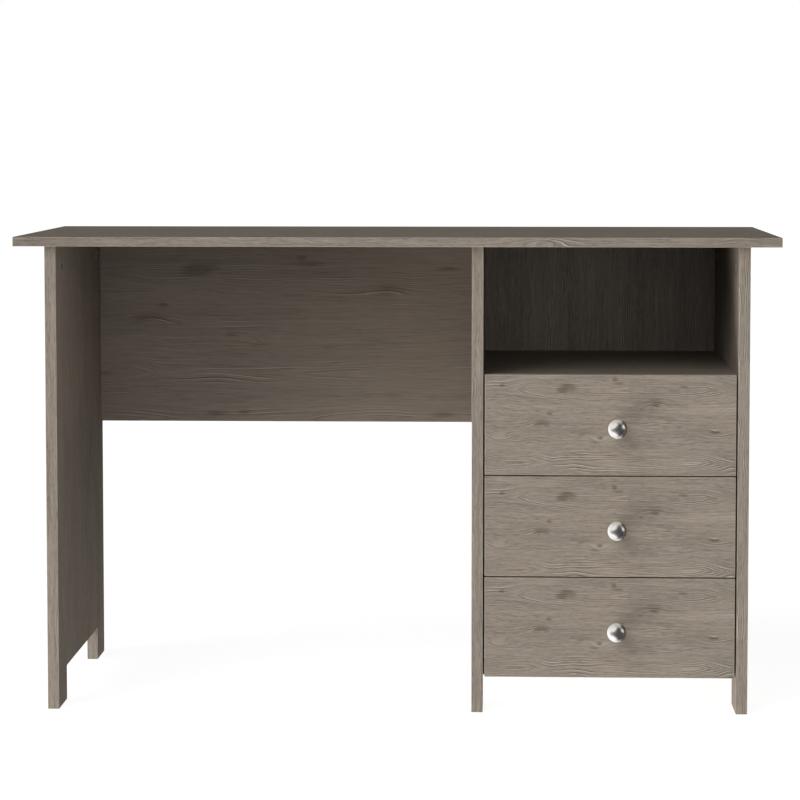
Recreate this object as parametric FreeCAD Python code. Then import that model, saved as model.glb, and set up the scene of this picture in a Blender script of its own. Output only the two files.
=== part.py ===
import FreeCAD, Part

import math
import os
from collections import defaultdict

# Writing desk: a thin top on three side panels, a kneehole with a modesty panel on the left, and on
# the right an open compartment over three drawers on roller runners.
# Millimetres. X runs along the desk, Y from front to back, Z up from the floor. The origin is on the
# floor, in the middle of the desk's length and of its depth from the knobs to the top's rear edge.

Vector = FreeCAD.Vector

# Whole desk
DESK_LENGTH = 1200.0
TOP_DEPTH = 500.0
DESK_HEIGHT = 750.0

# Board thicknesses
TOP_THICK = 15.0
PANEL_THICK = 18.0
BOARD_THICK = 15.0
DRAWER_THICK = 12.0
SHEET_THICK = 3.0
EDGE_ROUND = 0.6
SLOT_PLAY = 0.1
SHEET_PLAY = 0.4

# Side panels, with an arch cut out between a front and a rear foot
SIDE_OVERHANG = 47.5
PANEL_SETBACK = 14.0
PANEL_DEPTH = 480.0
FOOT_LENGTH = 76.5
ARCH_HEIGHT = 55.0
ARCH_ROUND = 4.0

# Kneehole and cabinet
CABINET_WIDTH = 397.5
MODESTY_HEIGHT = 325.0
SHELF_TOP = 535.0
CABINET_BOTTOM = 57.0
BACK_INSET = 6.5
BACK_GROOVE = 5.0

# Drawers
FRONT_HEIGHT = 158.0
FRONT_GAP = 2.0
FRONT_SIDE_GAP = 2.5
FRONT_TO_BOARD = 2.0
RUNNER_SPACE = 12.5
BOX_HEIGHT = 110.0
BOX_LENGTH = 400.0
BOX_LIFT = 20.0
FRONT_DADO = 6.0
BACK_DADO = 4.0
BACK_BOARD_INSET = 2.0
BOTTOM_GROOVE = 5.0
BOTTOM_LIFT = 8.0

# Ball knobs, a little to the right of each drawer's middle and a little below it
KNOB_RADIUS = 15.0
KNOB_CENTRE = 18.5
KNOB_FOOT_RADIUS = 7.0
KNOB_FOOT_HEIGHT = 1.4
KNOB_NECK_RADIUS = 5.5
KNOB_NECK_START = 2.4
KNOB_RIGHT = 10.75
KNOB_DROP = 4.0
KNOB_THREAD = 10.0
KNOB_SCREW_RADIUS = 1.95
KNOB_HOLE_RADIUS = 2.25
KNOB_SCREW_HEAD = (4.0, 2.6)
KNOB_SCREW_DOME = 1.2
KNOB_SCREW_CROSS = (4.2, 1.0, 1.4)

# Roller runners; heights are above the cabinet runner's lower face
SHEET_STEEL = 1.2
RUNNER_LENGTH = 420.0
CHANNEL_REACH = 11.0
CHANNEL_HEIGHT = 20.1
CHANNEL_MOUTH = 32.0
ROLLER_RADIUS = 8.5
ROLLER_WIDTH = 8.0
ROLLER_BORE = 2.05
ROLLER_HUB = 4.2
ROLLER_TYRE = 1.6
ROLLER_RECESS = 1.4
AXLE_RADIUS = 2.0
AXLE_HEAD = (3.5, 0.85)
AXLE_FROM_END = 12.0
FRONT_AXLE_HEIGHT = 12.3
REAR_AXLE_HEIGHT = 10.05
FRONT_ROLLER_REACH = 1.6
REAR_ROLLER_REACH = 2.85
AXLE_HEAD_GAP = 0.35
SLIDE_DROP = 2.0
SLIDE_TOP = 22.3
SLIDE_EDGE = 1.7
RUNNER_SCREW_HEIGHT = 10.05
SLIDE_SCREW_HEIGHT = 16.0
RUNNER_SCREW_STEPS = (50.0, 200.0, 350.0)
SLIDE_SCREW_STEPS = (40.0, 190.0, 340.0)

# Fasteners; a cross is its length, width and depth, and a bolt's steps are radius and height
SCREW_LENGTH = 12.0
SCREW_RADIUS = 1.75
SCREW_HEAD_RADIUS = 3.5
SCREW_HEAD_RIM = 0.3
SCREW_TIP = (0.3, 3.0)
SCREW_CROSS = (3.6, 0.9, 1.2)
CAM_RADIUS = 7.5
CAM_REACH = 34.0
CAM_BELOW_AXIS = 5.0
CAM_CHANNEL = 3.8
CAM_CROSS = (8.0, 1.6, 2.5)
BOLT_THREAD = (2.5, 11.0)
BOLT_TAPER = 1.0
BOLT_COLLAR = (3.6, 1.5)
BOLT_SHANK = (3.0, 29.0)
BOLT_NECK = (2.0, 32.5)
BOLT_HEAD = (3.5, 35.5)
BOLT_HOLE_RADIUS = 4.0
DOWEL_RADIUS = 4.0
DOWEL_SHALLOW = 10.0
DOWEL_DEEP = 22.0
DOWEL_CHAMFER = 1.0
FIT_PLAY = 0.05
SMALL_BREAK = 0.5
FINE_BREAK = 0.3
HOLE_SPARE = 1.5
CUT_PAST = 1.0

# How far the joints of the frame are from the ends of their boards
PANEL_CAM_INSET = 60.0
PANEL_DOWEL_INSET = 120.0
MODESTY_CAM_INSET = 110.0
MODESTY_CAM_RISE = 50.0
MODESTY_CAM_DROP = 95.0
CABINET_CAM_INSET = 50.0

# Places along X
RIGHT_OUT = DESK_LENGTH / 2 - SIDE_OVERHANG
RIGHT_IN = RIGHT_OUT - PANEL_THICK
MIDDLE_RIGHT = RIGHT_IN - CABINET_WIDTH
MIDDLE_LEFT = MIDDLE_RIGHT - PANEL_THICK
LEFT_OUT = -RIGHT_OUT
LEFT_IN = LEFT_OUT + PANEL_THICK
PANEL_MIDS = (LEFT_OUT + PANEL_THICK / 2, MIDDLE_LEFT + PANEL_THICK / 2, RIGHT_IN + PANEL_THICK / 2)

# Places along Y
KNOB_REACH = KNOB_CENTRE + KNOB_RADIUS
WHOLE_DEPTH = TOP_DEPTH + KNOB_REACH - PANEL_SETBACK
TOP_REAR = WHOLE_DEPTH / 2
TOP_FRONT = TOP_REAR - TOP_DEPTH
PANEL_FRONT = TOP_FRONT + PANEL_SETBACK
PANEL_REAR = PANEL_FRONT + PANEL_DEPTH
MODESTY_FRONT = PANEL_REAR - BOARD_THICK
BACK_FRONT = PANEL_REAR - BACK_INSET
FRONT_REAR = PANEL_FRONT + BOARD_THICK
BOARD_FRONT = FRONT_REAR + FRONT_TO_BOARD
BOX_REAR = FRONT_REAR + BOX_LENGTH

# Places along Z
UNDER_TOP = DESK_HEIGHT - TOP_THICK
DRAWERS = ("bottom", "middle", "top")
FRONT_BOTTOMS = [SHELF_TOP - (3 - level) * (FRONT_HEIGHT + FRONT_GAP) + FRONT_GAP for level in range(3)]

# The cabinet walls that carry runners: the wall's face, and the direction from it into the cabinet
WALLS = {"left": (MIDDLE_RIGHT, 1), "right": (RIGHT_IN, -1)}

holes = defaultdict(list)
fasteners = defaultdict(list)


def export(name, shape):
    shape.exportStep("parts/" + name + ".step")


def box(x, y, z):
    """A plain box from three pairs of limits."""
    return Part.makeBox(x[1] - x[0], y[1] - y[0], z[1] - z[0], Vector(x[0], y[0], z[0]))


def board(x, y, z):
    """A straight board with eased edges."""
    shape = box(x, y, z)
    return shape.makeFillet(EDGE_ROUND, shape.Edges)


def rod(start, direction, length, radius):
    return Part.makeCylinder(radius, length, start, direction)


def lathe(outline):
    """A solid turned about Z from an outline of (radius, height) points."""
    points = [Vector(radius, 0, height) for radius, height in outline]
    return Part.Face(Part.makePolygon(points + points[:1])).revolve(Vector(), Vector(0, 0, 1), 360)


def along(shape, point, direction):
    """Move a shape from the origin to a point, with its Z axis turned to a direction."""
    shape.Placement = FreeCAD.Placement(point, FreeCAD.Rotation(Vector(0, 0, 1), direction))
    return shape


def cross_recess(height, cross):
    """The cutter for a screwdriver's cross in a face at this height, looking down Z."""
    length, width, depth = cross
    bar = box((-length / 2, length / 2), (-width / 2, width / 2), (height - depth, height + depth))
    other = bar.copy()
    other.rotate(Vector(), Vector(0, 0, 1), 90)
    return bar.fuse(other)


def wall_box(wall, reach, y, z):
    """A box given by its reach from a cabinet wall towards the cabinet's middle."""
    face, inward = WALLS[wall]
    return box(sorted((face + inward * reach[0], face + inward * reach[1])), y, z)


def wall_point(wall, reach, y, z):
    face, inward = WALLS[wall]
    return Vector(face + inward * reach, y, z)


def wall_inward(wall):
    return Vector(WALLS[wall][1], 0, 0)


def drill(name, shape):
    """Cut a board's collected holes."""
    return shape.cut(holes[name]) if holes[name] else shape


# ---------------------------------------------------------------- fasteners

def cam_housing(thick):
    """A zinc cam: its axis is Z, and the bolt comes in along -X at height 0."""
    top = thick / 2
    drum = lathe([(0, -CAM_BELOW_AXIS), (CAM_RADIUS - SMALL_BREAK, -CAM_BELOW_AXIS),
                  (CAM_RADIUS, SMALL_BREAK - CAM_BELOW_AXIS), (CAM_RADIUS, top - FINE_BREAK),
                  (CAM_RADIUS - FINE_BREAK, top), (0, top)])
    channel = rod(Vector(CAM_CHANNEL - CUT_PAST, 0, 0), Vector(-1, 0, 0), 2 * CAM_RADIUS, CAM_CHANNEL)
    recess = cross_recess(top, CAM_CROSS)
    return drum.cut([channel, recess])


def cam_bolt():
    """A cam bolt along Z: its thread is below height 0, its head is held in the housing."""
    radius, length = BOLT_THREAD
    outline = [(0, -length), (radius - BOLT_TAPER, -length), (radius, BOLT_TAPER - length), (radius, 0)]
    height = 0
    for step_radius, step_height in (BOLT_COLLAR, BOLT_SHANK, BOLT_NECK):
        outline += [(step_radius, height), (step_radius, step_height)]
        height = step_height
    head, end = BOLT_HEAD
    outline += [(head, height), (head, end - SMALL_BREAK), (head - SMALL_BREAK, end), (0, end)]
    return lathe(outline)


def cam_joint(edge_board, face_board, point, run, face, thick):
    """Bolt the edge of one board to the face of another.

    The point is on the joint, run points into the edge-drilled board, and face points to the side
    of that board where its cam housing is bored.
    """
    centre = point + run * CAM_REACH
    turn = FreeCAD.Rotation(run, face.cross(run), face, "ZXY")
    housing = cam_housing(thick)
    housing.Placement = FreeCAD.Placement(centre, turn)
    fasteners["cam_lock_housings"].append(housing)
    fasteners["cam_lock_bolts"].append(along(cam_bolt(), point, run))
    bore_start = centre - face * (CAM_BELOW_AXIS + SLOT_PLAY)
    holes[edge_board].append(rod(bore_start, face, thick, CAM_RADIUS + FIT_PLAY))
    holes[edge_board].append(rod(point - run, run, CAM_REACH, BOLT_HOLE_RADIUS))
    radius, length = BOLT_THREAD
    holes[face_board].append(rod(point + run, run * -1, length + HOLE_SPARE, radius + FIT_PLAY))


def dowel_joint(edge_board, face_board, point, run):
    """A glued beech dowel, deeper in the edge-drilled board than in the other."""
    tip = DOWEL_RADIUS - DOWEL_CHAMFER
    dowel = lathe([(0, -DOWEL_SHALLOW), (tip, -DOWEL_SHALLOW), (DOWEL_RADIUS, DOWEL_CHAMFER - DOWEL_SHALLOW),
                   (DOWEL_RADIUS, DOWEL_DEEP - DOWEL_CHAMFER), (tip, DOWEL_DEEP), (0, DOWEL_DEEP)])
    fasteners["wood_dowels"].append(along(dowel, point, run))
    radius = DOWEL_RADIUS + FIT_PLAY
    holes[edge_board].append(rod(point - run, run, DOWEL_DEEP + HOLE_SPARE, radius))
    holes[face_board].append(rod(point + run, run * -1, DOWEL_SHALLOW + HOLE_SPARE, radius))


def screw_solid():
    """A countersunk wood screw along Z, with its flat head at height 0."""
    cone = SCREW_HEAD_RIM + SCREW_HEAD_RADIUS - SCREW_RADIUS
    tip_radius, tip_length = SCREW_TIP
    body = lathe([(0, 0), (SCREW_HEAD_RADIUS, 0), (SCREW_HEAD_RADIUS, SCREW_HEAD_RIM), (SCREW_RADIUS, cone),
                  (SCREW_RADIUS, SCREW_LENGTH - tip_length), (tip_radius, SCREW_LENGTH), (0, SCREW_LENGTH)])
    return body.cut(cross_recess(0, SCREW_CROSS))


def screw_hole():
    """The countersunk hole for one screw, open above its head."""
    head = SCREW_HEAD_RADIUS + FIT_PLAY
    shank = SCREW_RADIUS + FIT_PLAY
    cone = SCREW_HEAD_RIM + head - shank
    depth = SCREW_LENGTH + FIT_PLAY
    return lathe([(0, -CUT_PAST), (head, -CUT_PAST), (head, SCREW_HEAD_RIM), (shank, cone), (shank, depth),
                  (0, depth)])


def drive_screw(group, names, point, direction):
    """Drive a countersunk screw through a runner into the board behind it."""
    fasteners[group].append(along(screw_solid(), point, direction))
    for name in names:
        holes[name].append(along(screw_hole(), point, direction))


# ---------------------------------------------------------------- desk frame

def side_panel(out, back_slot=None):
    """A side panel from its left face, with the arch between its feet and a slot for the back."""
    x = (out, out + PANEL_THICK)
    panel = board(x, (PANEL_FRONT, PANEL_REAR), (0, UNDER_TOP))
    arch = box((x[0] - CUT_PAST, x[1] + CUT_PAST), (PANEL_FRONT + FOOT_LENGTH, PANEL_REAR - FOOT_LENGTH),
               (-CUT_PAST, ARCH_HEIGHT))
    corners = [edge for edge in arch.Edges
               if edge.BoundBox.XLength > PANEL_THICK and edge.BoundBox.ZMin > 0]
    tools = [arch.makeFillet(ARCH_ROUND, corners)]
    if back_slot:
        y = (BACK_FRONT - SLOT_PLAY, BACK_FRONT + SHEET_THICK + SLOT_PLAY)
        tools.append(box(back_slot, y, (CABINET_BOTTOM, DESK_HEIGHT)))
    return panel.cut(tools)


def join_frame():
    """Place the cam locks and dowels that hold the boards of the frame together."""
    up, down = Vector(0, 0, 1), Vector(0, 0, -1)
    right, left, back = Vector(1, 0, 0), Vector(-1, 0, 0), Vector(0, 1, 0)
    panels = ("left_side_panel", "middle_side_panel", "right_side_panel")
    for name, x, face in zip(panels, PANEL_MIDS, (right, left, left)):
        for y in (PANEL_FRONT + PANEL_CAM_INSET, PANEL_REAR - PANEL_CAM_INSET):
            cam_joint(name, "tabletop", Vector(x, y, UNDER_TOP), down, face, PANEL_THICK)
        for y in (PANEL_FRONT + PANEL_DOWEL_INSET, PANEL_REAR - PANEL_DOWEL_INSET):
            dowel_joint(name, "tabletop", Vector(x, y, UNDER_TOP), down)

    y = MODESTY_FRONT + BOARD_THICK / 2
    for x in (LEFT_IN + MODESTY_CAM_INSET, MIDDLE_LEFT - MODESTY_CAM_INSET):
        cam_joint("modesty_panel", "tabletop", Vector(x, y, UNDER_TOP), down, back, BOARD_THICK)
    for x, name, run in ((LEFT_IN, panels[0], right), (MIDDLE_LEFT, panels[1], left)):
        for z in (UNDER_TOP - MODESTY_HEIGHT + MODESTY_CAM_RISE, UNDER_TOP - MODESTY_CAM_DROP):
            cam_joint("modesty_panel", name, Vector(x, y, z), run, back, BOARD_THICK)
        middle = UNDER_TOP - MODESTY_HEIGHT / 2
        dowel_joint("modesty_panel", name, Vector(x, y, middle), run)

    for level, top in (("cabinet_shelf", SHELF_TOP), ("cabinet_base_panel", CABINET_BOTTOM + BOARD_THICK)):
        z = top - BOARD_THICK / 2
        for x, name, run in ((MIDDLE_RIGHT, panels[1], right), (RIGHT_IN, panels[2], left)):
            for y in (BOARD_FRONT + CABINET_CAM_INSET, BACK_FRONT - CABINET_CAM_INSET):
                cam_joint(level, name, Vector(x, y, z), run, down, BOARD_THICK)
            dowel_joint(level, name, Vector(x, (BOARD_FRONT + BACK_FRONT) / 2, z), run)


def make_frame():
    """The boards that stand still."""
    inside = (MIDDLE_RIGHT, RIGHT_IN)
    slots = ((MIDDLE_RIGHT - BACK_GROOVE, MIDDLE_RIGHT + CUT_PAST),
             (RIGHT_IN - CUT_PAST, RIGHT_IN + BACK_GROOVE))
    boards = {
        "tabletop": board((-DESK_LENGTH / 2, DESK_LENGTH / 2), (TOP_FRONT, TOP_REAR),
                          (UNDER_TOP, DESK_HEIGHT)),
        "left_side_panel": side_panel(LEFT_OUT),
        "middle_side_panel": side_panel(MIDDLE_LEFT, slots[0]),
        "right_side_panel": side_panel(RIGHT_IN, slots[1]),
        "modesty_panel": board((LEFT_IN, MIDDLE_LEFT), (MODESTY_FRONT, PANEL_REAR),
                               (UNDER_TOP - MODESTY_HEIGHT, UNDER_TOP)),
        "cabinet_shelf": board(inside, (BOARD_FRONT, BACK_FRONT), (SHELF_TOP - BOARD_THICK, SHELF_TOP)),
        "cabinet_base_panel": board(inside, (BOARD_FRONT, BACK_FRONT),
                                    (CABINET_BOTTOM, CABINET_BOTTOM + BOARD_THICK)),
    }
    for name, shape in boards.items():
        export(name, drill(name, shape))
    reach = BACK_GROOVE - SHEET_PLAY
    export("cabinet_back_panel", box((MIDDLE_RIGHT - reach, RIGHT_IN + reach),
                                     (BACK_FRONT, BACK_FRONT + SHEET_THICK),
                                     (CABINET_BOTTOM + SHEET_PLAY, UNDER_TOP - SHEET_PLAY)))


# ---------------------------------------------------------------- roller runners

def roller(start, axis):
    """A nylon roller around an axle, with a recess in each face; it starts here and runs along axis."""
    rim, width, bore, hub, web = ROLLER_RADIUS, ROLLER_WIDTH, ROLLER_BORE, ROLLER_HUB, ROLLER_RECESS
    tyre = rim - ROLLER_TYRE
    shoulder = rim - SMALL_BREAK
    wheel = lathe([(bore, 0), (hub, 0), (hub, web), (tyre, web), (tyre, 0), (shoulder, 0), (rim, SMALL_BREAK),
                   (rim, width - SMALL_BREAK), (shoulder, width), (tyre, width), (tyre, width - web),
                   (hub, width - web), (hub, width), (bore, width)])
    return along(wheel, start, axis)


def axle(start, direction, length):
    """A riveted axle pin with a flat head at its free end."""
    head_radius, head = AXLE_HEAD
    pin = lathe([(0, -SHEET_STEEL / 2), (AXLE_RADIUS, -SHEET_STEEL / 2), (AXLE_RADIUS, length),
                 (head_radius, length), (head_radius, length + head - FINE_BREAK),
                 (head_radius - FINE_BREAK, length + head), (0, length + head)])
    return along(pin, start, direction)


def runner_base(level):
    """The height of a drawer's cabinet runners."""
    return FRONT_BOTTOMS[level] + BOX_LIFT + SLIDE_DROP - SHEET_STEEL


def cabinet_runner(wall, level):
    """The fixed channel on a cabinet wall, and the roller on its front axle."""
    z = runner_base(level)
    y = (BOARD_FRONT, BOARD_FRONT + RUNNER_LENGTH)
    name = f"cabinet_runner_{wall}_{DRAWERS[level]}"
    panel = "middle_side_panel" if wall == "left" else "right_side_panel"
    for step in RUNNER_SCREW_STEPS:
        point = wall_point(wall, SHEET_STEEL, y[0] + step, z + RUNNER_SCREW_HEIGHT)
        drive_screw("cabinet_runner_screws", (name, panel), point, wall_inward(wall) * -1)
    sheet = SHEET_STEEL
    web = wall_box(wall, (0, sheet), y, (z, z + CHANNEL_HEIGHT))
    floor = wall_box(wall, (0, CHANNEL_REACH), y, (z, z + sheet))
    roof = wall_box(wall, (0, CHANNEL_REACH), (y[0] + CHANNEL_MOUTH, y[1]),
                    (z + CHANNEL_HEIGHT - sheet, z + CHANNEL_HEIGHT))
    axle_y = y[0] + AXLE_FROM_END
    height = z + FRONT_AXLE_HEIGHT
    length = FRONT_ROLLER_REACH + ROLLER_WIDTH + AXLE_HEAD_GAP - sheet
    pin = axle(wall_point(wall, sheet, axle_y, height), wall_inward(wall), length)
    channel = drill(name, web.fuse([floor, roof])).removeSplitter()
    export(name, channel.fuse(pin))
    start = wall_point(wall, FRONT_ROLLER_REACH, axle_y, height)
    export(f"front_roller_{wall}_{DRAWERS[level]}", roller(start, wall_inward(wall)))


def drawer_runner(wall, level):
    """The moving runner under a drawer side, and the roller on its rear axle."""
    z = runner_base(level)
    drawer = DRAWERS[level]
    y = (FRONT_REAR + FRONT_TO_BOARD / 2, BOX_REAR)
    name = f"{drawer}_drawer_{wall}_runner"
    side = f"{drawer}_drawer_{wall}_side"
    outer, sheet = RUNNER_SPACE, SHEET_STEEL
    for step in SLIDE_SCREW_STEPS:
        point = wall_point(wall, outer - sheet, FRONT_REAR + step, z + SLIDE_SCREW_HEIGHT)
        drive_screw(f"{drawer}_drawer_screws", (name, side), point, wall_inward(wall))
    web = wall_box(wall, (outer - sheet, outer), y, (z - SLIDE_DROP, z + SLIDE_TOP))
    rail = wall_box(wall, (SLIDE_EDGE, outer), y, (z + SLIDE_TOP - sheet, z + SLIDE_TOP))
    ledge = wall_box(wall, (outer - sheet, outer + DRAWER_THICK), y, (z - SLIDE_DROP, z - SLIDE_DROP + sheet))
    axle_y = BOX_REAR - AXLE_FROM_END
    height = z + REAR_AXLE_HEIGHT
    length = outer - sheet - REAR_ROLLER_REACH + AXLE_HEAD_GAP
    pin = axle(wall_point(wall, outer - sheet, axle_y, height), wall_inward(wall) * -1, length)
    slide = drill(name, web.fuse([rail, ledge])).removeSplitter()
    export(name, slide.fuse(pin))
    start = wall_point(wall, REAR_ROLLER_REACH, axle_y, height)
    export(f"{drawer}_drawer_{wall}_roller", roller(start, wall_inward(wall)))


# ---------------------------------------------------------------- drawers

def knob(x, z):
    """A ball knob on a short neck, with a blind threaded hole in its back."""
    start = KNOB_CENTRE - math.sqrt(KNOB_RADIUS ** 2 - KNOB_NECK_RADIUS ** 2)
    outline = [Vector(radius, 0, height) for radius, height in
               ((KNOB_NECK_RADIUS, start), (KNOB_NECK_RADIUS, KNOB_NECK_START),
                (KNOB_FOOT_RADIUS, KNOB_FOOT_HEIGHT), (KNOB_FOOT_RADIUS, 0), (0, 0), (0, KNOB_REACH))]
    edges = [Part.makeLine(first, second) for first, second in zip(outline, outline[1:])]
    ball = Part.Arc(outline[-1], Vector(KNOB_RADIUS, 0, KNOB_CENTRE), outline[0])
    turned = Part.Face(Part.Wire(edges + [ball.toShape()])).revolve(Vector(), Vector(0, 0, 1), 360)
    hole = rod(Vector(0, 0, -CUT_PAST), Vector(0, 0, 1), KNOB_THREAD + 2 * CUT_PAST,
               KNOB_SCREW_RADIUS + FIT_PLAY)
    return along(turned.cut(hole), Vector(x, PANEL_FRONT, z), Vector(0, -1, 0))


def knob_screw(x, z):
    """The machine screw that holds a knob from inside the drawer."""
    radius, height = KNOB_SCREW_HEAD
    length = BOARD_THICK + KNOB_THREAD
    dome = KNOB_SCREW_DOME
    screw = lathe([(0, -height), (radius - dome, -height), (radius, dome - height), (radius, 0),
                   (KNOB_SCREW_RADIUS, 0), (KNOB_SCREW_RADIUS, length - SMALL_BREAK),
                   (KNOB_SCREW_RADIUS - SMALL_BREAK, length), (0, length)])
    screw = screw.cut(cross_recess(-height, KNOB_SCREW_CROSS))
    return along(screw, Vector(x, FRONT_REAR, z), Vector(0, -1, 0))


def drawer_front(x, sides, bottom, knob_x, knob_z):
    """A drawer front, slotted behind for the drawer's sides and bottom and bored for its knob."""
    front = board(x, (PANEL_FRONT, FRONT_REAR), (bottom, bottom + FRONT_HEIGHT))
    foot = bottom + BOX_LIFT
    play = SLOT_PLAY / 2
    tools = [box((side[0] - play, side[1] + play), (FRONT_REAR - FRONT_DADO, FRONT_REAR + CUT_PAST),
                 (foot - play, foot + BOX_HEIGHT + play)) for side in sides]
    slot_z = foot + BOTTOM_LIFT
    tools.append(box((sides[0][1] - CUT_PAST, sides[1][0] + CUT_PAST),
                     (FRONT_REAR - BOTTOM_GROOVE, FRONT_REAR + CUT_PAST),
                     (slot_z, slot_z + SHEET_THICK + 2 * SLOT_PLAY)))
    tools.append(rod(Vector(knob_x, PANEL_FRONT - CUT_PAST, knob_z), Vector(0, 1, 0),
                     BOARD_THICK + 2 * CUT_PAST, KNOB_HOLE_RADIUS))
    return front.cut(tools)


def drawer_side(x, inner, foot):
    """A drawer side, slotted on its inner face for the bottom and the back."""
    side = board(x, (FRONT_REAR - FRONT_DADO, BOX_REAR), (foot, foot + BOX_HEIGHT))
    into = 1 if inner == x[1] else -1
    slot_z = foot + BOTTOM_LIFT
    floor_slot = box(sorted((inner - into * BOTTOM_GROOVE, inner + into * CUT_PAST)),
                     (FRONT_REAR - FRONT_DADO - CUT_PAST, BOX_REAR + CUT_PAST),
                     (slot_z, slot_z + SHEET_THICK + 2 * SLOT_PLAY))
    back_rear = BOX_REAR - BACK_BOARD_INSET
    play = SLOT_PLAY / 2
    back_slot = box(sorted((inner - into * (BACK_DADO + play), inner + into * CUT_PAST)),
                    (back_rear - DRAWER_THICK - play, back_rear + play),
                    (slot_z + SHEET_THICK, foot + BOX_HEIGHT + CUT_PAST))
    return side.cut([floor_slot, back_slot])


def make_drawer(level):
    """Every piece of one drawer, and the cabinet runners that carry it."""
    bottom = FRONT_BOTTOMS[level]
    foot = bottom + BOX_LIFT
    front_x = (MIDDLE_RIGHT + FRONT_SIDE_GAP, RIGHT_IN - FRONT_SIDE_GAP)
    box_x = (MIDDLE_RIGHT + RUNNER_SPACE, RIGHT_IN - RUNNER_SPACE)
    inner_x = (box_x[0] + DRAWER_THICK, box_x[1] - DRAWER_THICK)
    sides = ((box_x[0], inner_x[0]), (inner_x[1], box_x[1]))
    knob_x = sum(front_x) / 2 + KNOB_RIGHT
    knob_z = bottom + FRONT_HEIGHT / 2 - KNOB_DROP

    for wall in WALLS:
        cabinet_runner(wall, level)
        drawer_runner(wall, level)
    prefix = f"{DRAWERS[level]}_drawer_"
    export(prefix + "front", drawer_front(front_x, sides, bottom, knob_x, knob_z))
    for wall, side, inner in zip(WALLS, sides, inner_x):
        name = prefix + wall + "_side"
        export(name, drill(name, drawer_side(side, inner, foot)))
    floor = foot + BOTTOM_LIFT + SLOT_PLAY
    back_rear = BOX_REAR - BACK_BOARD_INSET
    export(prefix + "back", board((inner_x[0] - BACK_DADO, inner_x[1] + BACK_DADO),
                                  (back_rear - DRAWER_THICK, back_rear),
                                  (floor + SHEET_THICK, foot + BOX_HEIGHT)))
    reach = BOTTOM_GROOVE - SMALL_BREAK
    export(prefix + "bottom", box((inner_x[0] - reach, inner_x[1] + reach),
                                  (FRONT_REAR - reach, BOX_REAR), (floor, floor + SHEET_THICK)))
    export(prefix + "knob", knob(knob_x, knob_z))
    export(prefix + "knob_screw", knob_screw(knob_x, knob_z))


def main():
    os.makedirs("parts", exist_ok=True)
    join_frame()
    for level in range(len(DRAWERS)):
        make_drawer(level)
    make_frame()
    for name, solids in fasteners.items():
        export(name, Part.makeCompound(solids))


main()
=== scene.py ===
import math

import bpy
from mathutils import Euler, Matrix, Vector


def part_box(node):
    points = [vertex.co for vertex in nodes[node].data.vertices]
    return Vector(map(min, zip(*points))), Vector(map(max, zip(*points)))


# The look of the writing desk: grey-brown oak print laminate on every board, satin nickel ball knobs,
# black enamelled roller runners and zinc plated fittings. The shapes are the CAD model's own.
# Blender's units are metres. The wood print is laid out in millimetres.

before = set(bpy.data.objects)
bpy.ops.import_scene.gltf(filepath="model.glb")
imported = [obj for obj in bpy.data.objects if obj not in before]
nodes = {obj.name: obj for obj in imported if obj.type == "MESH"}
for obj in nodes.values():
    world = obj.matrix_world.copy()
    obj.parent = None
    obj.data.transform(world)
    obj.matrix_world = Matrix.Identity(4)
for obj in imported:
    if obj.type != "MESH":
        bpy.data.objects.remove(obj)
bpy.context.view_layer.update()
scene = bpy.context.scene

MM = 1000.0
DRAWERS = ("top", "middle", "bottom")

# Colours, as linear light
OAK = (0.268, 0.227, 0.187)
OAK_STAIN = (0.120, 0.084, 0.054)
OAK_WARM = (1.012, 0.997, 0.972)
OAK_COOL = (0.990, 1.003, 1.010)
# Painted shade: the tabletop and the shelf are coloured darker than the other boards.
TOP_PAINTED_SHADE = (0.93, 0.94, 0.95)
SHELF_PAINTED_SHADE = (0.68, 0.68, 0.68)
BOX_OAK = (0.300, 0.262, 0.222)
HARDBOARD = (0.205, 0.128, 0.072)
HARDBOARD_DARK = (0.120, 0.068, 0.036)
BEECH = (0.560, 0.380, 0.225)
BEECH_DARK = (0.420, 0.255, 0.135)
NICKEL = (0.735, 0.715, 0.685)
ZINC = (0.600, 0.615, 0.640)
ZINC_STAIN = (0.520, 0.470, 0.360)
ENAMEL = (0.034, 0.031, 0.029)
ENAMEL_RUB = (0.085, 0.082, 0.078)
NYLON = (0.800, 0.795, 0.770)
NYLON_WORN = (0.45, 0.44, 0.41)
FLOOR_GREY = (0.22, 0.22, 0.22)
WHITE = (1.0, 1.0, 1.0)

# Camera, at the photograph's viewing angle
CAMERA_PLACE = (0.16558, -4.37590, 0.90735)
CAMERA_PITCH = math.radians(3.682)
CAMERA_TURN = math.radians(2.194)
CAMERA_LENS = 119.74
CAMERA_SHIFT = -0.1159

# The print's own marks, in millimetres from the top left corner of a drawer front
KNOTS = (  # along, down, half length, half height, darkness
    (27, 16, 5, 3, 1.3),
    (130, 19, 14, 5, 1.2),
    (122, 25, 11, 4, 1.0),
    (203, 7, 4, 3, 1.5),
    (207, 14, 13, 3, 0.9),
    (310, 19, 8, 2.5, 1.2),
    (267, 43, 13, 8, 0.8),
    (101, 61, 4, 2.5, 1.4),
    (90, 76, 13, 5, 1.1),
    (152, 94, 6, 3.5, 0.9),
    (172, 106, 10, 3, 0.7),
    (58, 140, 6, 3, 0.8),
    (139, 185, 9, 4, 1.0),
    (161, 183, 5, 3, 1.0),
    (306, 185, 9, 4, 1.0),
)
CRESTS = (  # how far down the grain folds back on itself, and its swells: from, to, how much
    (25, ((26, 98, -17.0), (322, 400, 20.0))),
    (139, ((-60, 0, -17.0), (62, 108, 15.0), (112, 318, -15.0), (326, 396, 20.0))),
    (190, ((-60, 0, -14.0), (40, 120, 14.0), (150, 260, -14.0), (300, 400, 14.0))),
)
FIGURES = (  # along, down, half length, half height, how far the grain is pushed
    (92, 77, 20, 7, 7.0),
    (360, 93, 26, 8, 8.0),
    (26, 100, 22, 6, 9.0),
    (180, 102, 14, 5, 6.0),
    (266, 43, 18, 8, 7.0),
)

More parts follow.
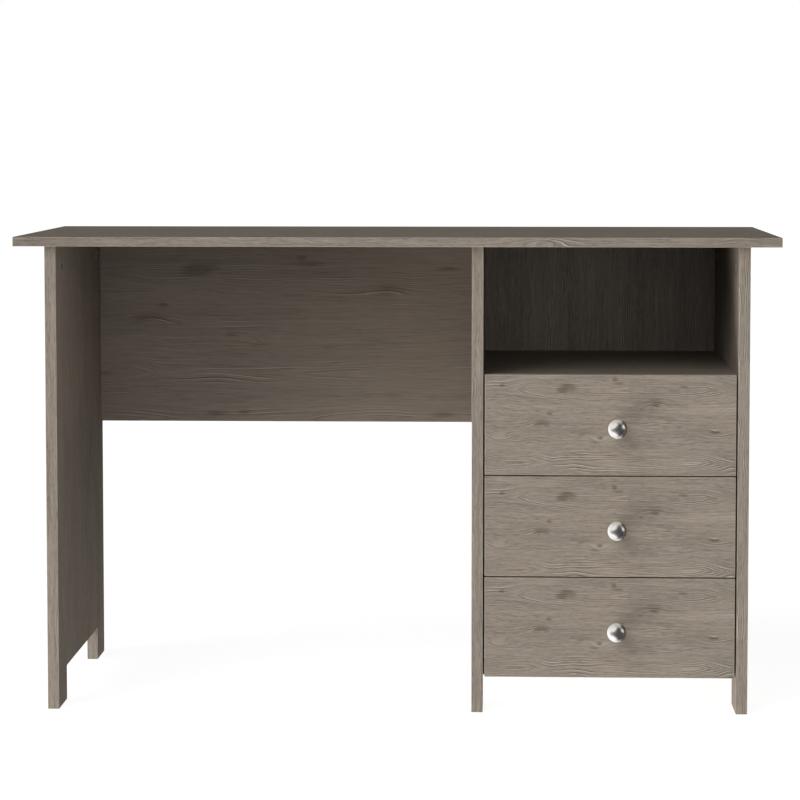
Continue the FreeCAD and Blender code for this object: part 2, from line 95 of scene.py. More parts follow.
# Crests: how far a swell reaches from one, and how wide and how faint its very top is
CREST_REACH = 14.0
CREST_TOP = 2.5
CREST_TOP_FADE = 1.1

# Marks spread by chance over the large boards
BOARD_CREST_PITCH = 62.0
BOARD_SWELL_LESS = 12.0  # taken off every swell
SCATTER = (  # pitch along, pitch across, half length, half height, push, darkness
    (310.0, 74.0, 48.0, 9.0, 11.0, 0.0),
    (230.0, 120.0, 20.0, 8.0, -7.0, 0.5),
)
SCATTER_JITTER = 0.8
SCATTER_CORE = (0.4, 0.5)  # a knot's dark core, as parts of its half length and half height

# How the grain wanders, in millimetres: length and height of a patch, and how far it pushes
BEND = (62.0, 40.0, 10.0)
SWELL = (170.0, 4 * BOARD_CREST_PITCH, 34.0)
DRIFT = (230.0, 70.0, 13.0)
WOBBLE = (34.0, 9.0, 2.2)
BEND_SEED = 71.0

# Streaks and specks along the grain: length and height of one in millimetres, and a seed
RING_PATCH = (60.0, 12.0, 5.0)
CLOUD = (210.0, 42.0, 11.0)
STREAK = (150.0, 6.5, 17.0)
THREAD = (60.0, 2.0, 23.0)
FLECK = (15.0, 1.5, 27.0)
PORE = (11.0, 0.9, 31.0)
RAY = (16.0, 2.2, 41.0)
WARMTH = (150.0, 18.0, 53.0)
RING_PITCH = 5.0
STREAK_CHANGE = 30.0  # millimetres across the grain in which the streaks become other ones

# Where the print starts on each board, and how much larger and fainter it is on the modesty panel
FRONT_PRINT_DOWN = {"top": 0.0, "middle": 10.0, "bottom": 5.0}
MODESTY_PRINT_LEFT = 131.0
MODESTY_PRINT_DOWN = 28.0
MODESTY_PRINT_SCALE = (2.38, 1.535)
MODESTY_PRINT_DEPTH = 0.58

# The other boards' own parts of the print, and how strong it is on the drawer boxes
TOP_SEED = 3.1
SHELF_SEED = 5.3
BASE_SEED = 6.7
PANEL_SEED = 8.9
PANEL_SEED_STEP = 2.3
BOX_BOARDS = (  # name, grain, through, seed
    ("left_side", "y", "x", 9.0),
    ("right_side", "y", "x", 10.0),
    ("back", "x", "y", 4.0),
)
BOX_SEED = 20.0
BOX_SEED_STEP = 3.7
BOX_PRINT_DEPTH = 0.55
BACK_PANEL_SEED = 31.0
DRAWER_BOTTOM_SEED = 40.0

# Oak print boards: how much darker the large faces are painted, as painted shade, and the wear and painted
# highlight along the edges
TOP_FACE_PAINTED_SHADE = 0.95
PANEL_FACE_PAINTED_SHADE = 0.80
SQUARELY = 0.7  # how squarely a surface faces along an axis to count as a side of the board
BAND_AWAY = 700.0  # the edge bands and the ends use the print this far from the face's own
END_AWAY = 900.0
THROUGH_CHANGE = 0.004  # how much the print changes in a millimetre through the board
STAIN_COVER = 0.34  # how much a stain covers, and how much more where the print is strong
STAIN_COVER_MORE = 0.30
# Wear and a painted highlight along the edges: where it is full, where it ends, how much lighter and how much
# it covers.
WEAR_AND_HIGHLIGHT_FULL = 0.2  # millimetres from an edge
WEAR_AND_HIGHLIGHT_END = 1.5
WEAR_AND_HIGHLIGHT_LIGHTER = 1.7
WEAR_AND_HIGHLIGHT_COVER = 0.60

# Knobs: how squarely the metal faces the front where the rim starts to fade and where it has ended.
# Then how squarely the rim faces the right where its painted shade starts and where it is wholly darkened,
# and where the rubbed part starts to fade and where it has ended.
RIM_FACING = (0.50, 0.85)
PAINTED_SHADE_FACING = (0.25, 0.60)
RUBBED_FACING = (0.20, 0.60)
KNOB_LINES = 5.0  # turned lines to a millimetre

# Soft boxes: turn, rise, two radii in degrees, brightness. Gloss sees a set of its own.
LIT_BASE = 0.03
LIT_BOXES = (
    (-45, 38, 5, 32, 4.2),
    (-85, -38, 20, 38, 7.8),
    (80, -8, 5, 30, 3.1),
    (12, 5, 8, 45, 1.10),
    (180, -25, 40, 80, 0.6),
)
GLOSS_BASE = 0.025
GLOSS_BOXES = (
    (-72, 46, 28, 50, 1.05),
    (180, 64, 18, 36, 0.30),
    (-80, -58, 20, 45, 1.2),
    (85, 22, 9, 24, 1.5),
)
FLOOR_REACH = 60.0  # metres from the middle to each side
FLOOR_GLOW = 0.93


# ---------------------------------------------------------------- shader graph helpers

class Graph:
    """Adds shader nodes to a tree. Wherever a value is wanted it may be a socket, a number or a colour."""

    def __init__(self, tree):
        self.tree = tree

    def node(self, kind, **settings):
        made = self.tree.nodes.new(kind)
        for name, value in settings.items():
            setattr(made, name, value)
        return made

    def feed(self, socket, value):
        if isinstance(value, bpy.types.NodeSocket):
            self.tree.links.new(value, socket)
        elif isinstance(value, tuple) and len(value) == 3 and socket.type == "RGBA":
            socket.default_value = (*value, 1.0)
        else:
            socket.default_value = value

    def math(self, operation, *values):
        made = self.node("ShaderNodeMath", operation=operation)
        for socket, value in zip(made.inputs, values):
            self.feed(socket, value)
        return made.outputs[0]

    def add(self, first, *others):
        for other in others:
            first = self.math("ADD", first, other)
        return first

    def times(self, first, *others):
        for other in others:
            first = self.math("MULTIPLY", first, other)
        return first

    def minus(self, first, second):
        return self.math("SUBTRACT", first, second)

    def over(self, first, second):
        return self.math("DIVIDE", first, second)

    def layers(self, base, *layers):
        """The base with layers added to it, each a value and its weight."""
        for value, weight in layers:
            base = self.add(base, self.times(value, weight))
        return base

    def ease(self, value, low, high, start=0.0, end=1.0):
        """Goes smoothly from start to end while the value goes from low to high."""
        made = self.node("ShaderNodeMapRange", interpolation_type="SMOOTHSTEP")
        for socket, number in zip(made.inputs, (value, low, high, start, end)):
            self.feed(socket, number)
        return made.outputs[0]

    def vector(self, x, y, z=0.0):
        made = self.node("ShaderNodeCombineXYZ")
        for socket, value in zip(made.inputs, (x, y, z)):
            self.feed(socket, value)
        return made.outputs[0]

    def split(self, vector):
        made = self.node("ShaderNodeSeparateXYZ")
        self.feed(made.inputs[0], vector)
        return tuple(made.outputs)

    def axes(self, vector):
        """The parts of a vector by the names of their axes."""
        return dict(zip("xyz", self.split(vector)))

    def noise(self, vector, detail=2.0, roughness=0.5):
        """Noise about zero, mostly within plus and minus 0.3."""
        made = self.node("ShaderNodeTexNoise", noise_dimensions="3D")
        self.feed(made.inputs["Vector"], vector)
        self.feed(made.inputs["Scale"], 1.0)
        self.feed(made.inputs["Detail"], detail)
        self.feed(made.inputs["Roughness"], roughness)
        return self.minus(made.outputs[0], 0.5)

    def patches(self, u, v, size, w=0.0, detail=2.0):
        """Noise in patches of about this length along u and this height along v."""
        length, height = size
        return self.noise(self.vector(self.over(u, length), self.over(v, height), w), detail)

    def specks(self, point, per_mm, detail=2.0, roughness=0.5):
        """The same noise in every direction, with about this many specks to a millimetre."""
        return self.noise(self.shade(point, per_mm), detail, roughness)

    def mix(self, factor, first, second):
        """The first colour where the factor is 0, and the second where it is 1."""
        made = self.node("ShaderNodeMix", data_type="RGBA", blend_type="MIX")
        colours = [socket for socket in made.inputs if socket.type == "RGBA"]
        self.feed(made.inputs[0], factor)
        self.feed(colours[0], first)
        self.feed(colours[1], second)
        return next(socket for socket in made.outputs if socket.type == "RGBA")

    def choose(self, factor, first, second):
        """The first number where the factor is 0, and the second where it is 1."""
        made = self.node("ShaderNodeMix", data_type="FLOAT")
        numbers = [socket for socket in made.inputs if socket.type == "VALUE"]
        for socket, value in zip(numbers, (factor, first, second)):
            self.feed(socket, value)
        return made.outputs[0]

    def shade(self, colour, amount):
        """The colour or place made larger or smaller: amount 1 leaves it as it is."""
        made = self.node("ShaderNodeVectorMath", operation="SCALE")
        self.feed(made.inputs[0], colour)
        self.feed(made.inputs["Scale"], amount)
        return made.outputs[0]

    def bump(self, height, distance, strength=1.0):
        made = self.node("ShaderNodeBump")
        self.feed(made.inputs["Height"], height)
        self.feed(made.inputs["Distance"], distance)
        self.feed(made.inputs["Strength"], strength)
        return made.outputs[0]


def new_material(name):
    """A material with a Principled shader: (material, its graph, the shader)."""
    material = bpy.data.materials.new(name)
    material.use_nodes = True
    tree = material.node_tree
    tree.nodes.clear()
    graph = Graph(tree)
    shader = graph.node("ShaderNodeBsdfPrincipled")
    out = graph.node("ShaderNodeOutputMaterial")
    tree.links.new(shader.outputs[0], out.inputs[0])
    return material, graph, shader


def new_group(name, inputs, outputs):
    """A shader node group: (tree, graph, input sockets, output node). Sockets are given as name to type."""
    tree = bpy.data.node_groups.new(name, "ShaderNodeTree")
    for socket, kind in inputs.items():
        tree.interface.new_socket(socket, in_out="INPUT", socket_type=kind)
    for socket, kind in outputs.items():
        tree.interface.new_socket(socket, in_out="OUTPUT", socket_type=kind)
    graph = Graph(tree)
    return tree, graph, graph.node("NodeGroupInput").outputs, graph.node("NodeGroupOutput")


def object_point(graph):
    """Where the surface is, in millimetres in the shared frame at rest, and which way it faces."""
    coordinates = graph.node("ShaderNodeTexCoord")
    return graph.shade(coordinates.outputs["Object"], MM), coordinates.outputs["Normal"]


def third_axis(first, second):
    """The axis that is neither of these two."""
    return ({"x", "y", "z"} - {first, second}).pop()


def put(material, *names):
    """Give the CAD nodes this material only."""
    for name in names:
        mesh = nodes[name].data
        mesh.materials.clear()
        mesh.materials.append(material)


# ---------------------------------------------------------------- oak print

def oval(graph, u, v, mark):
    """A soft oval mark, 1 at its middle."""
    along, down, length, height = mark
    across = graph.math("POWER", graph.over(graph.minus(u, along), length), 2.0)
    upright = graph.math("POWER", graph.over(graph.minus(v, down), height), 2.0)
    return graph.math("EXPONENT", graph.times(graph.add(across, upright), -1.0))


def falloff(graph, distance, reach):
    """1 at no distance, fading smoothly away."""
    squared = graph.math("POWER", graph.over(distance, reach), 2.0)
    return graph.math("EXPONENT", graph.times(squared, -1.0))


def folded_grain(graph, distance, swell):
    """Grain that folds back along a crest, and how clear the rings are there. The swell makes the
    rings into pointed arches. They are clearest beside the crest and faint on its very top."""
    near = falloff(graph, distance, CREST_REACH)
    top = falloff(graph, distance, CREST_TOP)
    fold = graph.add(distance, graph.times(near, swell))
    return fold, graph.minus(near, graph.times(top, CREST_TOP_FADE))


def crest_bend(graph, u, v):
    """How far a crest wanders up or down."""
    *patch, push = BEND
    return graph.times(graph.patches(u, v, patch, BEND_SEED, detail=1.0), push)


def printed_marks(graph, u, v):
    """The knots and figures of the print that the fronts and the modesty panel share."""
    base = None
    figure = 0.0
    bent = crest_bend(graph, u, v)
    for down, swells in CRESTS:
        swell = 0.0
        for first, last, amount in swells:
            swell = graph.add(swell, graph.ease(u, first, last, 0.0, amount))
        distance = graph.math("ABSOLUTE", graph.add(graph.minus(v, down), bent))
        fold, clear = folded_grain(graph, distance, swell)
        base = fold if base is None else graph.math("MINIMUM", base, fold)
        figure = graph.add(figure, clear)
    for *place, push in FIGURES:
        mark = oval(graph, u, v, place)
        base = graph.add(base, graph.times(mark, push))
        figure = graph.add(figure, mark)
    stain = 0.0
    for *place, dark in KNOTS:
        stain = graph.add(stain, graph.times(oval(graph, u, v, place), dark))
    return base, figure, stain


def scattered_marks(graph, u, v):
    """Crests, knots and figures spread by chance, for the large boards."""
    *patch, push = SWELL
    swell = graph.minus(graph.times(graph.patches(u, v, patch), push), BOARD_SWELL_LESS)
    bent = crest_bend(graph, u, v)
    distance = graph.math("PINGPONG", graph.add(v, bent), BOARD_CREST_PITCH)
    base, figure = folded_grain(graph, distance, swell)
    stain = 0.0
    for pitch_u, pitch_v, length, height, push, dark in SCATTER:
        cells = graph.node("ShaderNodeTexVoronoi", voronoi_dimensions="2D", feature="F1")
        place = graph.vector(graph.over(u, pitch_u), graph.over(v, pitch_v))
        graph.feed(cells.inputs["Vector"], place)
        cells.inputs["Scale"].default_value = 1.0
        cells.inputs["Randomness"].default_value = SCATTER_JITTER
        here = graph.split(place)
        centre = graph.split(cells.outputs["Position"])
        chance = graph.split(cells.outputs["Color"])[0]
        off_u = graph.times(graph.minus(here[0], centre[0]), pitch_u)
        off_v = graph.times(graph.minus(here[1], centre[1]), pitch_v)
        present = graph.ease(chance, 0.25, 0.75)
        mark = graph.times(oval(graph, off_u, off_v, (0.0, 0.0, length, height)), present)
        base = graph.add(base, graph.times(mark, push))
        figure = graph.add(figure, mark)
        core_length, core_height = SCATTER_CORE
        core = oval(graph, off_u, off_v, (0.0, 0.0, length * core_length, height * core_height))
        stain = graph.add(stain, graph.times(core, present, dark))
    return base, figure, stain


def growth_rings(graph, ring, patch, figure):
    """Thin dark lines, each with a pale one beside it. They fade in and out, and show most in figures."""
    saw = graph.math("FRACT", graph.over(ring, RING_PITCH))
    pale = graph.ease(saw, 0.10, 0.30, 1.0, 0.0)
    dark = graph.ease(saw, 0.66, 0.94)
    clear = graph.ease(graph.layers(patch, (figure, 0.26)), 0.08, 0.30)
    strength = graph.layers(1.0, (figure, 0.9))
    return graph.times(graph.minus(graph.times(pale, 1.2), graph.times(dark, 0.9)), clear, strength)


def oak_group(name, marks):
    """Oak print at a point (along the grain, across it, and through the board) in millimetres.
    Gives a shade about 1, a brown stain and a warmth from 0 to 1, and a relief about 0."""
    tree, graph, given, result = new_group(
        name,
        {"Place": "NodeSocketVector"},
        {"Shade": "NodeSocketFloat", "Stain": "NodeSocketFloat", "Relief": "NodeSocketFloat",
         "Warmth": "NodeSocketFloat"},
    )
    u, v, w = graph.split(given["Place"])
    base, figure, stain = marks(graph, u, v)
    ring = base
    for (*patch, push), detail in ((DRIFT, 2.0), (WOBBLE, 1.0)):
        ring = graph.layers(ring, (graph.patches(u, v, patch, w, detail), push))

    def streaks(kind, detail=1.0):
        *patch, seed = kind
        there = graph.add(w, seed, graph.over(v, STREAK_CHANGE))
        return graph.patches(u, ring, patch, there, detail)

    rings = growth_rings(graph, ring, streaks(RING_PATCH), figure)
    *patch, seed = CLOUD
    cloud = graph.patches(u, v, patch, graph.add(w, seed))
    streak = streaks(STREAK, detail=2.0)
    thread = streaks(THREAD, detail=2.0)
    fleck = streaks(FLECK)
    pore = graph.ease(streaks(PORE), 0.05, 0.22)
    rays = graph.add(graph.times(streaks(RAY, detail=2.0), 1.6), 0.55)
    rays = graph.ease(graph.times(stain, rays), 0.05, 0.60)

    shade = graph.layers(1.0, (cloud, 0.40), (streak, 0.38), (thread, 0.76), (fleck, 0.62), (rings, 0.50),
                         (pore, -0.28))
    relief = graph.add(graph.times(thread, 0.8), graph.times(rings, 0.5), graph.times(pore, -1.0))
    graph.feed(result.inputs["Shade"], shade)
    graph.feed(result.inputs["Warmth"], graph.ease(streaks(WARMTH), -0.2, 0.2))
    graph.feed(result.inputs["Stain"], rays)
    graph.feed(result.inputs["Relief"], relief)
    return tree


FRONT_PRINT = oak_group("oak_print_fronts", printed_marks)
BOARD_PRINT = oak_group("oak_print_boards", scattered_marks)


def tinted(colour, tint):
    """A colour multiplied by a tint, part by part."""
    return tuple(part * change for part, change in zip(colour, tint))


def edge_distance(graph, point, low, high):
    """How far a point on a box-shaped board is from the nearest of the board's edges."""
    centre = [(a + b) / 2 for a, b in zip(low, high)]
    half = [(b - a) / 2 for a, b in zip(low, high)]
    depths = []
    for value, middle, reach in zip(graph.split(point), centre, half):
        depths.append(graph.minus(reach, graph.math("ABSOLUTE", graph.minus(value, middle))))
    a, b, c = depths
    nearer = graph.math("MINIMUM", a, b)
    further = graph.math("MAXIMUM", a, b)
    return graph.math("MAXIMUM", nearer, graph.math("MINIMUM", further, c))


def board_place(graph, point, facing, grain, through, start, stretch, seed):
    """The print's own place for a point on a board. The print runs along each edge band as well."""
    across = third_axis(grain, through)
    axis = graph.axes(point)
    faces = {name: graph.math("GREATER_THAN", graph.math("ABSOLUTE", value), SQUARELY)
             for name, value in graph.axes(facing).items()}
    u = graph.times(graph.minus(axis[grain], start[0]), stretch[0])
    v = graph.times(graph.minus(axis[across], start[1]), stretch[1])
    on_end = faces[grain]
    on_side = faces[across]
    long_way = graph.choose(on_end, u, graph.add(v, END_AWAY))
    on_band = graph.math("MAXIMUM", on_end, on_side)
    short_way = graph.choose(on_band, v, graph.add(axis[through], BAND_AWAY))
    depth = graph.add(seed, graph.times(axis[through], THROUGH_CHANGE))
    return graph.vector(long_way, short_way, depth)


def oak(name, node, grain, through, start=(0.0, 0.0), stretch=(1.0, 1.0), seed=0.0,
        pattern=BOARD_PRINT, colour=OAK, depth=1.0, face_painted_shade=1.0):
    """Oak print laminate for one board, with edges made lighter by wear and a painted highlight. The two
    large faces may be printed in a darker tone than the edge bands, as painted shade."""
    material, graph, shader = new_material(name)
    point, facing = object_point(graph)
    group = graph.node("ShaderNodeGroup", node_tree=pattern)
    graph.feed(group.inputs["Place"],
               board_place(graph, point, facing, grain, through, start, stretch, seed))
    low, high = (tuple(corner * MM for corner in ends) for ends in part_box(node))
    edge = edge_distance(graph, point, low, high)
    rub = graph.specks(point, per_mm=0.09, detail=3.0, roughness=0.6)
    # Wear and a painted highlight: the edges are made lighter within about a millimetre and a half.
    wear_and_highlight = graph.times(graph.ease(edge, WEAR_AND_HIGHLIGHT_FULL, WEAR_AND_HIGHLIGHT_END, 1.0, 0.0),
                       graph.ease(rub, -0.25, 0.3, 0.35, 1.0))

    shade = graph.add(1.0, graph.times(graph.minus(group.outputs["Shade"], 1.0), depth))
    on_face = graph.math("ABSOLUTE", graph.axes(facing)[through])
    # Painted shade: the board's large faces are darkened by this tone.
    shade = graph.times(shade, graph.ease(on_face, 0.6, 0.9, 1.0, face_painted_shade))
    base = graph.mix(group.outputs["Warmth"], tinted(colour, OAK_COOL), tinted(colour, OAK_WARM))
    cover = STAIN_COVER + STAIN_COVER_MORE * depth
    base = graph.mix(graph.times(group.outputs["Stain"], cover), base, OAK_STAIN)
    base = graph.shade(base, shade)
    worn_and_highlight = tuple(min(1.0, part * WEAR_AND_HIGHLIGHT_LIGHTER) for part in colour)
    base = graph.mix(graph.times(wear_and_highlight, WEAR_AND_HIGHLIGHT_COVER), base, worn_and_highlight)
    graph.feed(shader.inputs["Base Color"], base)
    relief = group.outputs["Relief"]
    graph.feed(shader.inputs["Roughness"], graph.layers(0.48, (relief, -0.10), (rub, 0.12), (wear_and_highlight, 0.08)))
    shader.inputs["Specular IOR Level"].default_value = 0.20
    fine = graph.specks(point, per_mm=1.6)
    height = graph.layers(relief, (fine, 0.35))
    graph.feed(shader.inputs["Normal"], graph.bump(height, distance=0.00012, strength=0.6))
    return material


def node_end(node, axis_name, end):
    """Where a node starts (end 0) or stops (end 1) along an axis, in millimetres."""
    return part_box(node)[end]["xyz".index(axis_name)] * MM


def laminate_fronts():
    """The drawer fronts and the modesty panel, which share one print."""
    for drawer in DRAWERS:
        front = f"{drawer}_drawer_front"
        corner = (node_end(front, "x", 0), node_end(front, "z", 1) - FRONT_PRINT_DOWN[drawer])
        put(oak(f"oak_{front}", front, "x", "y", corner, (1.0, -1.0), pattern=FRONT_PRINT), front)
    corner = (node_end("modesty_panel", "x", 0) - MODESTY_PRINT_LEFT,
              node_end("modesty_panel", "z", 1) - MODESTY_PRINT_DOWN)
    along, down = MODESTY_PRINT_SCALE
    put(oak("oak_modesty_panel", "modesty_panel", "x", "y", corner, (1 / along, -1 / down),
            pattern=FRONT_PRINT, depth=MODESTY_PRINT_DEPTH), "modesty_panel")


def laminate_boards():
    """Every other oak print board, each with its own part of the print."""
    # Painted shade: the tabletop and the shelf get darker colours, and the tabletop's large faces are darker
    # still.
    put(oak("oak_tabletop", "tabletop", "x", "z", seed=TOP_SEED, colour=tinted(OAK, TOP_PAINTED_SHADE),
            face_painted_shade=TOP_FACE_PAINTED_SHADE), "tabletop")
    put(oak("oak_shelf", "cabinet_shelf", "x", "z", seed=SHELF_SEED, colour=tinted(OAK, SHELF_PAINTED_SHADE)),
        "cabinet_shelf")
    put(oak("oak_base_panel", "cabinet_base_panel", "x", "z", seed=BASE_SEED), "cabinet_base_panel")
    for number, side in enumerate(("left", "middle", "right")):
        panel = f"{side}_side_panel"
        seed = PANEL_SEED + PANEL_SEED_STEP * number
        put(oak(f"oak_{panel}", panel, "z", "x", seed=seed, face_painted_shade=PANEL_FACE_PAINTED_SHADE), panel)
    for number, drawer in enumerate(DRAWERS):
        for part, grain, through, part_seed in BOX_BOARDS:
            board = f"{drawer}_drawer_{part}"
            seed = BOX_SEED + BOX_SEED_STEP * number + part_seed
            put(oak(f"oak_{board}", board, grain, through, seed=seed, colour=BOX_OAK,
                    depth=BOX_PRINT_DEPTH), board)


# ---------------------------------------------------------------- other board materials

def hardboard(name, printed_side, grain, seed, colour):
    """Thin hardboard: oak print film on the printed side (an axis and a sign), raw brown fibres elsewhere."""
    material, graph, shader = new_material(name)
    point, facing = object_point(graph)
    axis, sign = printed_side
    place = graph.axes(point)
    group = graph.node("ShaderNodeGroup", node_tree=BOARD_PRINT)
    graph.feed(group.inputs["Place"], graph.vector(place[grain], place[third_axis(grain, axis)], seed))
    film = graph.shade(graph.mix(group.outputs["Stain"], colour, OAK_STAIN), group.outputs["Shade"])

    fibres = graph.specks(point, per_mm=0.55, detail=5.0, roughness=0.7)
    tufts = graph.specks(point, per_mm=0.11, detail=4.0, roughness=0.75)
    mottle = graph.specks(point, per_mm=0.012)
    tone = graph.ease(graph.layers(fibres, (tufts, 0.7), (mottle, 0.25)), -0.40, 0.40)
    raw = graph.mix(tone, HARDBOARD_DARK, HARDBOARD)

    direction = graph.axes(facing)[axis]
    printed = graph.math("GREATER_THAN", graph.times(direction, float(sign)), 0.5)
    graph.feed(shader.inputs["Base Color"], graph.mix(printed, raw, film))
    graph.feed(shader.inputs["Roughness"], graph.layers(0.62, (printed, -0.12), (fibres, 0.15)))
    shader.inputs["Specular IOR Level"].default_value = 0.28
    relief = graph.add(graph.times(fibres, 0.8), graph.times(group.outputs["Relief"], 0.3))
    graph.feed(shader.inputs["Normal"], graph.bump(relief, distance=0.00015, strength=0.6))
    return material


def beech_wood():
    """Turned beech, with short upright flecks."""
    material, graph, shader = new_material("beech")
    point, _ = object_point(graph)
    x, y, z = graph.split(point)
    long_grain = graph.patches(x, y, (1.2, 1.2), graph.over(z, 14.0), detail=3.0)
    fleck = graph.ease(graph.patches(x, y, (0.5, 0.5), graph.over(z, 2.5)), 0.08, 0.2)
    base = graph.mix(graph.ease(long_grain, -0.3, 0.3), BEECH_DARK, BEECH)
    graph.feed(shader.inputs["Base Color"], graph.mix(graph.times(fleck, 0.5), base, BEECH_DARK))
    graph.feed(shader.inputs["Roughness"], graph.layers(0.6, (long_grain, 0.2)))
    relief = graph.add(long_grain, fleck)
    graph.feed(shader.inputs["Normal"], graph.bump(relief, distance=0.00015, strength=0.7))
    return material


# ---------------------------------------------------------------- metals and plastics

def satin_nickel(drawer):
    """Brushed nickel plate on a drawer's knob: fine turned rings round its axis and a soft clouding.
    The rim is rubbed pale and dull at the left, top and bottom, and darkened at the right as painted shade."""
    material, graph, shader = new_material(f"nickel_{drawer}")
    point, facing = object_point(graph)
    low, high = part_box(f"{drawer}_drawer_knob")
    middle = (low + high) / 2 * MM
    x, y, z = graph.split(point)
    off_x = graph.math("POWER", graph.minus(x, middle.x), 2.0)
    off_z = graph.math("POWER", graph.minus(z, middle.z), 2.0)
    radius = graph.math("SQRT", graph.add(off_x, off_z))
    turned = graph.vector(graph.times(radius, KNOB_LINES), graph.times(y, KNOB_LINES))
    lines = graph.noise(turned, detail=3.0, roughness=0.6)
    cloud = graph.specks(point, per_mm=0.16, detail=3.0)

    faces_x, faces_y, _ = graph.split(facing)
    rim = graph.ease(graph.math("ABSOLUTE", faces_y), *RIM_FACING, 1.0, 0.0)
    # Painted shade: the rim's base colour is darkened where it faces the right.
    painted_shade_right = graph.times(rim, graph.ease(faces_x, *PAINTED_SHADE_FACING))
    rubbed = graph.times(rim, graph.ease(faces_x, *RUBBED_FACING, 1.0, 0.05))
    tone = graph.layers(1.0, (lines, 0.10), (cloud, 0.06), (painted_shade_right, -0.72))
    graph.feed(shader.inputs["Base Color"], graph.shade(NICKEL, tone))
    graph.feed(shader.inputs["Metallic"], graph.minus(0.96, graph.times(rubbed, 0.79)))
    graph.feed(shader.inputs["Roughness"], graph.layers(0.28, (lines, 0.12), (cloud, 0.10), (rubbed, 0.10)))
    graph.feed(shader.inputs["Normal"], graph.bump(lines, distance=0.00003, strength=0.5))
    return material


def zinc_plate():
    """Clear passivated zinc: a faint straw bloom on bluish plate, fine grit and dull patches."""
    material, graph, shader = new_material("zinc_plate")
    point, _ = object_point(graph)
    bloom = graph.specks(point, per_mm=0.22, detail=3.0)
    grit = graph.specks(point, per_mm=2.6, detail=4.0, roughness=0.65)
    base = graph.mix(graph.ease(bloom, -0.1, 0.35), ZINC, ZINC_STAIN)
    graph.feed(shader.inputs["Base Color"], graph.shade(base, graph.layers(1.0, (grit, 0.25))))
    shader.inputs["Metallic"].default_value = 1.0
    graph.feed(shader.inputs["Roughness"], graph.layers(0.34, (grit, 0.25), (bloom, 0.15)))
    graph.feed(shader.inputs["Normal"], graph.bump(grit, distance=0.00004, strength=0.6))
    return material


def runner_enamel():
    """Baked black enamel on pressed steel: orange peel, a faint clouding and thin grey rub marks."""
    material, graph, shader = new_material("runner_enamel")
    point, _ = object_point(graph)
    x, y, z = graph.split(point)
    peel = graph.specks(point, per_mm=0.9)
    tone = graph.specks(point, per_mm=0.05, detail=3.0)
    rub = graph.patches(x, y, (1.5, 60.0), graph.over(z, 1.1), detail=3.0)
    track = graph.ease(rub, 0.10, 0.30)
    base = graph.shade(ENAMEL, graph.layers(1.0, (tone, 0.10), (peel, 0.05)))
    graph.feed(shader.inputs["Base Color"], graph.mix(graph.times(track, 0.35), base, ENAMEL_RUB))
    graph.feed(shader.inputs["Roughness"], graph.layers(0.34, (peel, 0.12), (track, 0.12)))
    relief = graph.minus(peel, graph.times(track, 0.3))
    graph.feed(shader.inputs["Normal"], graph.bump(relief, distance=0.00008, strength=0.6))
    return material


def white_nylon():
    """Moulded nylon: slightly waxy, with fine turning marks and a greyed running face."""
    material, graph, shader = new_material("white_nylon")
    point, facing = object_point(graph)
    x, y, z = graph.split(point)
    grain = graph.specks(point, per_mm=1.8, detail=3.0, roughness=0.6)
    marks = graph.noise(graph.vector(graph.times(x, 3.0), graph.times(y, 0.4), graph.times(z, 0.4)))
    sideways = graph.math("ABSOLUTE", graph.split(facing)[0])
    running = graph.ease(sideways, 0.2, 0.8, 1.0, 0.0)
    base = graph.shade(NYLON, graph.layers(1.0, (grain, 0.08)))
    graph.feed(shader.inputs["Base Color"], graph.mix(graph.times(running, 0.22), base, NYLON_WORN))
    graph.feed(shader.inputs["Roughness"], graph.layers(0.44, (grain, 0.15), (running, -0.08)))
    shader.inputs["Subsurface Weight"].default_value = 0.08
    shader.inputs["Subsurface Scale"].default_value = 0.002
    relief = graph.add(grain, marks)
    graph.feed(shader.inputs["Normal"], graph.bump(relief, distance=0.00006, strength=0.6))
    return material


def dress_fittings():
    """Materials for everything that isn't an oak print board."""
    put(hardboard("back_panel_board", ("y", -1), "z", BACK_PANEL_SEED, OAK), "cabinet_back_panel")
    for number, drawer in enumerate(DRAWERS):
        bottom = f"{drawer}_drawer_bottom"
        put(hardboard(f"{bottom}_board", ("z", 1), "x", DRAWER_BOTTOM_SEED + number, BOX_OAK), bottom)
        put(satin_nickel(drawer), f"{drawer}_drawer_knob")
    put(beech_wood(), "wood_dowels")
    zinc = zinc_plate()
    enamel = runner_enamel()
    nylon = white_nylon()
    put(zinc, "cam_lock_housings", "cam_lock_bolts", "cabinet_runner_screws")
    for drawer in DRAWERS:
        put(zinc, f"{drawer}_drawer_knob_screw", f"{drawer}_drawer_screws")
        for side in ("left", "right"):
            put(enamel, f"cabinet_runner_{side}_{drawer}", f"{drawer}_drawer_{side}_runner")
            put(nylon, f"front_roller_{side}_{drawer}", f"{drawer}_drawer_{side}_roller")


# ---------------------------------------------------------------- studio

def toward(turn, rise):
    """The direction of a light: degrees to the right of the desk's front, and degrees above the floor."""
    turn, rise = math.radians(turn), math.radians(rise)
    return Vector((math.sin(turn) * math.cos(rise), -math.cos(turn) * math.cos(rise), math.sin(rise)))


def soft_boxes(graph, direction, base, boxes):
    """Surroundings made of round soft boxes, each a turn, a rise, two radii in degrees and a brightness.
    A box is even inside its inner radius and fades out at its outer one."""
    total = base
    for turn, rise, inner, outer, bright in boxes:
        made = graph.node("ShaderNodeVectorMath", operation="DOT_PRODUCT")
        graph.feed(made.inputs[0], direction)
        made.inputs[1].default_value = toward(turn, rise)
        near, far = math.cos(math.radians(inner)), math.cos(math.radians(outer))
        total = graph.add(total, graph.ease(made.outputs["Value"], far, near, 0.0, bright))
    return total


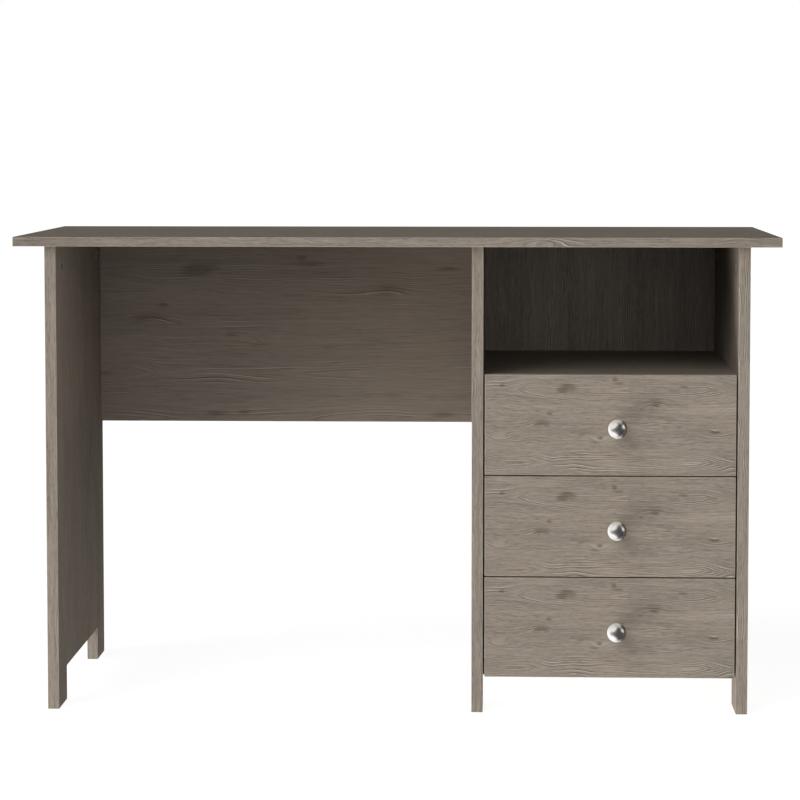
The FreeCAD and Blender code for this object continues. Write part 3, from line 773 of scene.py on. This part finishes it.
def studio_light():
    """Soft boxes at both sides, in front, low on the left and behind. The camera sees plain white."""
    world = bpy.data.worlds.new("studio")
    world.use_nodes = True
    scene.world = world
    tree = world.node_tree
    tree.nodes.clear()
    graph = Graph(tree)
    direction = graph.node("ShaderNodeTexCoord").outputs["Generated"]
    lit = soft_boxes(graph, direction, LIT_BASE, LIT_BOXES)
    gloss = soft_boxes(graph, direction, GLOSS_BASE, GLOSS_BOXES)
    ray = graph.node("ShaderNodeLightPath").outputs
    seen = graph.choose(ray["Is Glossy Ray"], lit, gloss)
    background = graph.node("ShaderNodeBackground")
    graph.feed(background.inputs["Color"], WHITE)
    graph.feed(background.inputs["Strength"], graph.math("MAXIMUM", seen, ray["Is Camera Ray"]))
    out = graph.node("ShaderNodeOutputWorld")
    tree.links.new(background.outputs[0], out.inputs[0])


def studio_floor():
    """A wide white floor that glows a little, so only the last of the shadow shows."""
    mesh = bpy.data.meshes.new("studio_floor")
    reach = FLOOR_REACH
    corners = [(-reach, -reach, 0.0), (reach, -reach, 0.0), (reach, reach, 0.0), (-reach, reach, 0.0)]
    mesh.from_pydata(corners, [], [(0, 1, 2, 3)])
    floor = bpy.data.objects.new("studio_floor", mesh)
    scene.collection.objects.link(floor)
    material, graph, shader = new_material("studio_floor")
    graph.feed(shader.inputs["Base Color"], FLOOR_GREY)
    shader.inputs["Roughness"].default_value = 1.0
    shader.inputs["Specular IOR Level"].default_value = 0.0
    graph.feed(shader.inputs["Emission Color"], WHITE)
    shader.inputs["Emission Strength"].default_value = FLOOR_GLOW
    mesh.materials.append(material)
    floor.visible_glossy = False
    floor.visible_diffuse = False
    floor.visible_shadow = False


def studio_camera():
    """The camera that took the photograph, as far as the desk's edges tell."""
    data = bpy.data.cameras.new("camera")
    camera = bpy.data.objects.new("camera", data)
    scene.collection.objects.link(camera)
    camera.location = CAMERA_PLACE
    camera.rotation_euler = Euler((math.pi / 2 - CAMERA_PITCH, 0.0, CAMERA_TURN))
    data.lens = CAMERA_LENS
    data.shift_y = CAMERA_SHIFT
    scene.camera = camera


laminate_fronts()
laminate_boards()
dress_fittings()
studio_light()
studio_floor()
studio_camera()
scene.view_settings.view_transform = "Standard"
